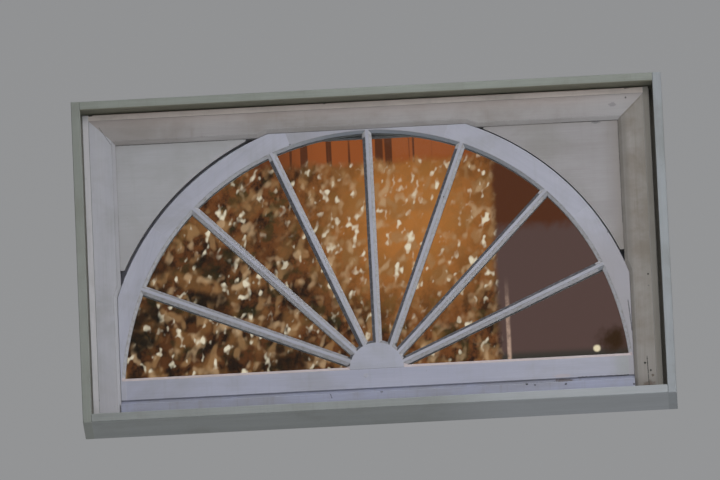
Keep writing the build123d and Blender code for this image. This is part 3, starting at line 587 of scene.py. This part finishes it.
def glassFinish(seed):
    # old drawn glass: clear, with long shallow waves
    material, tree, shader = newMaterial("glass_%d" % seed)
    place = put(tree, "TexCoord").outputs["Object"]
    shifted = put(tree, "Mapping", {"Vector": place}, Location=(seed * 1.3, 0, seed * 0.7)).outputs[0]
    shader.inputs["Base Color"].default_value = oldGlass["tint"]
    shader.inputs["Roughness"].default_value = 0
    shader.inputs["IOR"].default_value = oldGlass["index"]
    shader.inputs["Transmission Weight"].default_value = 1
    waves = noise(tree, shifted, oldGlass["waves"], 1, 0.4)
    addBump(tree, shader, waves, oldGlass["ridge"], oldGlass["depth"])
    return material


for k in range(1, 9):
    finishNode("putty_%d" % k, puttyFinish(k))
    finishNode("pane_%d" % k, glassFinish(k))


# fixings, packers and joint strips

hiddenFinishes = {
    "bare_softwood": {
        "colour": paint(176, 138, 96), "second": paint(142, 104, 66), "cloud": (60, 4, 4),
        "rough": 0.6, "metal": 0,
        "nodes": ("packers", "mitre_keys", "hub_dowels"),
    },
    "dull_steel": {
        "colour": paint(140, 138, 134), "second": paint(96, 84, 72), "cloud": (3, 3, 3),
        "rough": 0.4, "metal": 1,
        "nodes": ("frame_screws", "corner_screws", "stop_screws", "glazing_points", "foot_nails"),
    },
}


def plainFinish(name, look):
    material, tree, shader = newMaterial(name)
    place = put(tree, "TexCoord").outputs["Object"]
    cloud = noise(tree, place, look["cloud"], 4, 0.6)
    base = mixed(tree, ramp(tree, cloud, (0.35, 0.65)), look["colour"], look["second"])
    tree.links.new(base, shader.inputs["Base Color"])
    rough = ramp(tree, cloud, (0.3, 0.7), (look["rough"], look["rough"] + 0.2))
    tree.links.new(rough, shader.inputs["Roughness"])
    shader.inputs["Metallic"].default_value = look["metal"]
    addBump(tree, shader, cloud, 0.3, 0.2)
    return material


for finish, look in hiddenFinishes.items():
    material = plainFinish(finish, look)
    for name in look["nodes"]:
        finishNode(name, material)


jointStrips = {
    "painted": (paint(120, 118, 112), paint(104, 102, 96)),
    "bare": (paint(104, 101, 93), paint(122, 118, 110)),
    "cells": (2, 2, 2), "rough": 0.85, "ridge": 0.4, "depth": 0.3,
}


def stripFinish():
    # the strip on the left is painted over with the lining, the one on the right is left bare
    material, tree, shader = newMaterial("joint_strips")
    place = put(tree, "TexCoord").outputs["Object"]
    side = axesOf(tree, place)["X"]
    cells = noise(tree, place, jointStrips["cells"], 3, 0.6)
    shades = ramp(tree, cells, (0.3, 0.7))
    painted, bare = mixed(tree, shades, *jointStrips["painted"]), mixed(tree, shades, *jointStrips["bare"])
    tree.links.new(mixed(tree, ramp(tree, side, (-0.1, 0.1)), painted, bare), shader.inputs["Base Color"])
    shader.inputs["Roughness"].default_value = jointStrips["rough"]
    addBump(tree, shader, cells, jointStrips["ridge"], jointStrips["depth"])
    return material


finishNode("gap_seals", stripFinish())
print("glass, putty and fixings done")


# floor, backdrop, light and camera; sizes in metres

plainFloor = {"colour": paint(214, 216, 214), "rough": 0.9, "spread": 60, "below": 0.5 * mm}


def selectFaces(piece, test):
    # leaves the piece in edit mode with only the faces that pass the test selected
    bpy.ops.object.mode_set(mode="EDIT")
    bpy.ops.mesh.select_mode(type="FACE")
    bpy.ops.mesh.select_all(action="DESELECT")
    bpy.ops.object.mode_set(mode="OBJECT")
    for face in piece.data.polygons:
        face.select = test(face)
    bpy.ops.object.mode_set(mode="EDIT")


def makeFloor():
    # the window stands in an opening of the floor just its own size, so its underside gets light
    bpy.ops.object.select_all(action="DESELECT")
    low, high = cadBox
    wide, deep = high.x - low.x, high.y - low.y
    bpy.ops.mesh.primitive_plane_add(size=1, location=(0, 0, -plainFloor["below"]))
    floor = bpy.context.object
    floor.name = "floor"
    floor.scale = (wide, deep, 1)
    bpy.ops.object.transform_apply(location=True, scale=True)
    bpy.ops.object.mode_set(mode="EDIT")
    bpy.ops.mesh.select_all(action="SELECT")
    bpy.ops.mesh.extrude_region_move()
    bpy.ops.transform.resize(value=(plainFloor["spread"] / wide, plainFloor["spread"] / deep, 1))
    bpy.ops.object.mode_set(mode="OBJECT")
    selectFaces(floor, lambda face: face.center.xy.length < 1)
    bpy.ops.mesh.delete(type="ONLY_FACE")
    bpy.ops.mesh.select_all(action="SELECT")
    bpy.ops.mesh.normals_make_consistent(inside=False)
    bpy.ops.object.mode_set(mode="OBJECT")
    if floor.data.polygons[0].normal.z < 0:
        floor.data.flip_normals()
    material, tree, shader = newMaterial("floor")
    shader.inputs["Base Color"].default_value = plainFloor["colour"]
    shader.inputs["Roughness"].default_value = plainFloor["rough"]
    # seen from below the floor is clear, because the camera looks up at the window
    clear = put(tree, "BsdfTransparent")
    back = put(tree, "NewGeometry").outputs["Backfacing"]
    both = put(tree, "MixShader", {0: back, 1: shader.outputs[0], 2: clear.outputs[0]})
    tree.links.new(both.outputs[0], tree.nodes["Material Output"].inputs["Surface"])
    floor.data.materials.append(material)


# the backdrop stands behind the window and lower by drop, so heights are read from the lifted pattern;
# sizes of patterns are in millimetres
duskBackdrop = {
    "behind": 0.35, "wide": 7, "tall": 5, "middle": 0.36, "drop": 0.115, "lean": -14,
    "deep": paint(44, 26, 18), "mild": paint(118, 70, 38), "cool": paint(62, 56, 30),
    "night": paint(22, 18, 13), "amber": paint(206, 132, 66),
    "top": paint(158, 84, 42), "topShade": paint(92, 50, 30),
    "side": paint(94, 72, 70), "sideHigh": paint(88, 48, 30), "sideLow": paint(62, 58, 55),
    "fold": paint(206, 172, 156),
    "broad": (95, 95, 75), "close": (26, 26, 34), "hue": (44, 44, 44), "strips": (17, 17, 900),
    "warmPlace": (0.07, 0.44), "warmReach": (0.30, 0.04),
    "darkPlace": (-0.40, 0.12), "darkReach": (0.42, 0.1),
    "sideEdge": (0.262, 0.28), "sideLowEdge": (0.13, 0.11), "sideHighEdge": (0.415, 0.45),
    "foldLeft": (0.2705, 0.274), "foldRight": (0.283, 0.278), "foldTop": (0.30, 0.2),
    "topEdge": (0.535, 0.56), "topMiddle": 0.02, "topFade": (0.12, 0.3),
}
# painted out-of-focus highlights on the glowing backdrop: size in millimetres, thresholds, strength, colour
duskHighlights = [
    ((44, 44, 62), (0.48, 0.64), 0.5, paint(150, 104, 62)),
    ((27, 27, 38), (0.52, 0.66), 0.6, paint(172, 130, 90)),
    ((22, 22, 34), (0.54, 0.72), 0.65, paint(206, 170, 134)),
    ((15, 15, 24), (0.60, 0.76), 0.9, paint(250, 236, 214)),
]
# a darker patch with one painted highlight low down at the far right: x, z, reach, raggedness, colour
sidePatches = [
    (0.505, 0.140, (0.075, 0.035), 0.06, paint(56, 36, 20)),
    (0.466, 0.122, (0.0125, 0.007), 0.005, paint(250, 232, 200)),
]


def backdropPoint(x, z):
    return (x, duskBackdrop["behind"], z)


def duskMiddle(tree, lifted, leaned, close):
    # patches out of focus, warmest near the middle and dark low down on the left
    look = duskBackdrop
    broad = noise(tree, lifted, look["broad"], 3, 0.6)
    hue = noise(tree, leaned, look["hue"], 3, 0.6)
    glow = mixed(tree, ramp(tree, close, (0.36, 0.62)), look["deep"], look["mild"])
    glow = mixed(tree, times(tree, ramp(tree, hue, (0.5, 0.62)), 0.7), glow, look["cool"])
    warm = against(tree, "DISTANCE", lifted, backdropPoint(*look["warmPlace"]))["Value"]
    glow = mixed(tree, ramp(tree, warm, look["warmReach"], (0, 0.7)), glow, look["amber"])
    dark = against(tree, "DISTANCE", lifted, backdropPoint(*look["darkPlace"]))["Value"]
    lowLeft = times(tree, ramp(tree, dark, look["darkReach"]), ramp(tree, broad, (0.35, 0.55), (1, 0.45)))
    glow = mixed(tree, lowLeft, glow, look["night"])
    calm = ramp(tree, broad, (0.30, 0.55))
    for sizes, span, strength, colour in duskHighlights:
        grains = noise(tree, leaned, sizes, 1, 0.5)
        glow = mixed(tree, times(tree, ramp(tree, grains, span), times(tree, calm, strength)), glow, colour)
    return glow


def duskSide(tree, lifted, split, close):
    # calm and reddish on the right, with one pale fold
    look = duskBackdrop
    side = mixed(tree, ramp(tree, split["Z"], look["sideLowEdge"]), look["side"], look["sideLow"])
    wavy = plus(tree, split["Z"], times(tree, close, 0.05))
    side = mixed(tree, ramp(tree, wavy, look["sideHighEdge"]), side, look["sideHigh"])
    fold = times(tree, ramp(tree, split["X"], look["foldLeft"]), ramp(tree, split["X"], look["foldRight"]))
    fold = times(tree, fold, ramp(tree, split["Z"], look["foldTop"]))
    side = mixed(tree, times(tree, fold, ramp(tree, close, (0.3, 0.6), (0.2, 0.9))), side, look["fold"])
    for x, z, reach, ragged, colour in sidePatches:
        away = against(tree, "DISTANCE", lifted, backdropPoint(x, z))["Value"]
        side = mixed(tree, ramp(tree, plus(tree, away, times(tree, close, ragged)), reach), side, colour)
    return side


def duskTop(tree, lifted, split):
    # plain amber with thin upright shades, browner towards both ends
    look = duskBackdrop
    strips = noise(tree, lifted, look["strips"], 1, 0.5)
    above = mixed(tree, ramp(tree, strips, (0.56, 0.62)), look["top"], look["topShade"])
    out = maths(tree, "ABSOLUTE", plus(tree, split["X"], -look["topMiddle"]))
    return mixed(tree, ramp(tree, out, look["topFade"]), above, look["sideHigh"])


def makeBackdrop():
    # only the glass shows it: a backdrop that glows behind the window, a painted warm dusk out of focus with
    # painted highlights
    look = duskBackdrop
    bpy.ops.object.select_all(action="DESELECT")
    bpy.ops.mesh.primitive_plane_add(size=1, rotation=(math.radians(90), 0, 0))
    dusk = bpy.context.object
    dusk.name = "glowing_backdrop"
    dusk.scale = (look["wide"], look["tall"], 1)
    bpy.ops.object.transform_apply(rotation=True, scale=True)
    dusk.location = (0, look["behind"], look["middle"] + look["drop"])
    bpy.ops.object.transform_apply(location=True)
    material, tree, shader = newMaterial("glowing_backdrop")
    place = put(tree, "TexCoord").outputs["Object"]
    lifted = put(tree, "Mapping", {"Vector": place}, Location=(0, 0, -look["drop"])).outputs[0]
    leaned = put(tree, "Mapping", {"Vector": lifted}, Rotation=(0, math.radians(look["lean"]), 0)).outputs[0]
    split = axesOf(tree, lifted)
    close = noise(tree, leaned, look["close"], 5, 0.65)
    glow = duskMiddle(tree, lifted, leaned, close)
    onSide = ramp(tree, plus(tree, split["X"], times(tree, close, 0.03)), look["sideEdge"])
    glow = mixed(tree, onSide, glow, duskSide(tree, lifted, split, close))
    crest = maths(tree, "SUBTRACT", split["Z"], times(tree, close, 0.05))
    glow = mixed(tree, ramp(tree, crest, look["topEdge"]), glow, duskTop(tree, lifted, split))
    light = put(tree, "Emission", {"Color": glow}, Strength=1)
    tree.links.new(light.outputs[0], tree.nodes["Material Output"].inputs["Surface"])
    dusk.data.materials.append(material)
    dusk.visible_camera = dusk.visible_diffuse = dusk.visible_glossy = dusk.visible_shadow = False


# the flag is a dark patch up in front, which keeps the glass from mirroring the pale studio
studioSky = {
    "high": (0.178, 0.18, 0.187, 1), "low": (0.372, 0.377, 0.382, 1), "rise": (-0.1, 0.8),
    "flag": (0.09, 0.085, 0.08, 1), "flagWay": (0, -0.95, 0.31), "flagEdge": (0.93, 0.985),
}
# a soft key low on the right, and a wash on the floor in front that bounces up
studioLamps = {
    "key_light": {
        "power": 134, "size": 3.5, "spread": 180, "place": (3.6, -6.8, 1.9), "target": (0, 0, 0.36),
    },
    "wash_light": {
        "power": 23, "size": 1.6, "spread": 110, "place": (0.5, -2.3, 1.9), "target": (0.3, -1.7, 0),
    },
}


def makeSky():
    world = bpy.data.worlds.new("studio")
    bpy.context.scene.world = world
    world.use_nodes = True
    tree = world.node_tree
    way = put(tree, "TexCoord").outputs["Generated"]
    rise = ramp(tree, axesOf(tree, way)["Z"], studioSky["rise"])
    colour = mixed(tree, rise, studioSky["low"], studioSky["high"])
    toward = against(tree, "DOT_PRODUCT", way, studioSky["flagWay"])["Value"]
    colour = mixed(tree, ramp(tree, toward, studioSky["flagEdge"]), colour, studioSky["flag"])
    tree.links.new(colour, tree.nodes["Background"].inputs["Color"])


def makeLamps():
    for name, look in studioLamps.items():
        bpy.ops.object.light_add(type="AREA", location=look["place"])
        lamp = bpy.context.object
        lamp.name = name
        lamp.data.energy = look["power"]
        lamp.data.size = look["size"]
        lamp.data.spread = math.radians(look["spread"])
        lamp.visible_glossy = False
        lamp.rotation_mode = "QUATERNION"
        lamp.rotation_quaternion = (Vector(look["target"]) - lamp.location).to_track_quat("-Z", "Y")


viewpoint = {
    "azimuth": 1.37, "elevation": -18.07, "roll": -2.54, "distance": 34, "aim": (-0.0277, 0, 0.3972),
    "lens": 792, "sensor": 36, "reach": 200,
}


def makeCamera():
    turn, tilt = math.radians(viewpoint["azimuth"]), math.radians(viewpoint["elevation"])
    back = Vector((math.sin(turn) * math.cos(tilt), -math.cos(turn) * math.cos(tilt), math.sin(tilt)))
    bpy.ops.object.camera_add()
    camera = bpy.context.object
    camera.name = "camera"
    camera.data.lens = viewpoint["lens"]
    camera.data.sensor_width = viewpoint["sensor"]
    camera.data.clip_end = viewpoint["reach"]
    level = (-back).to_track_quat("-Z", "Y").to_matrix()
    rolled = level @ Matrix.Rotation(math.radians(viewpoint["roll"]), 3, "Z")
    camera.rotation_mode = "QUATERNION"
    camera.rotation_quaternion = rolled.to_quaternion()
    camera.location = Vector(viewpoint["aim"]) + back * viewpoint["distance"]
    bpy.context.scene.camera = camera


makeFloor()
makeBackdrop()
makeSky()
makeLamps()
makeCamera()
bpy.context.scene.view_settings.view_transform = "Standard"
print("studio ready")
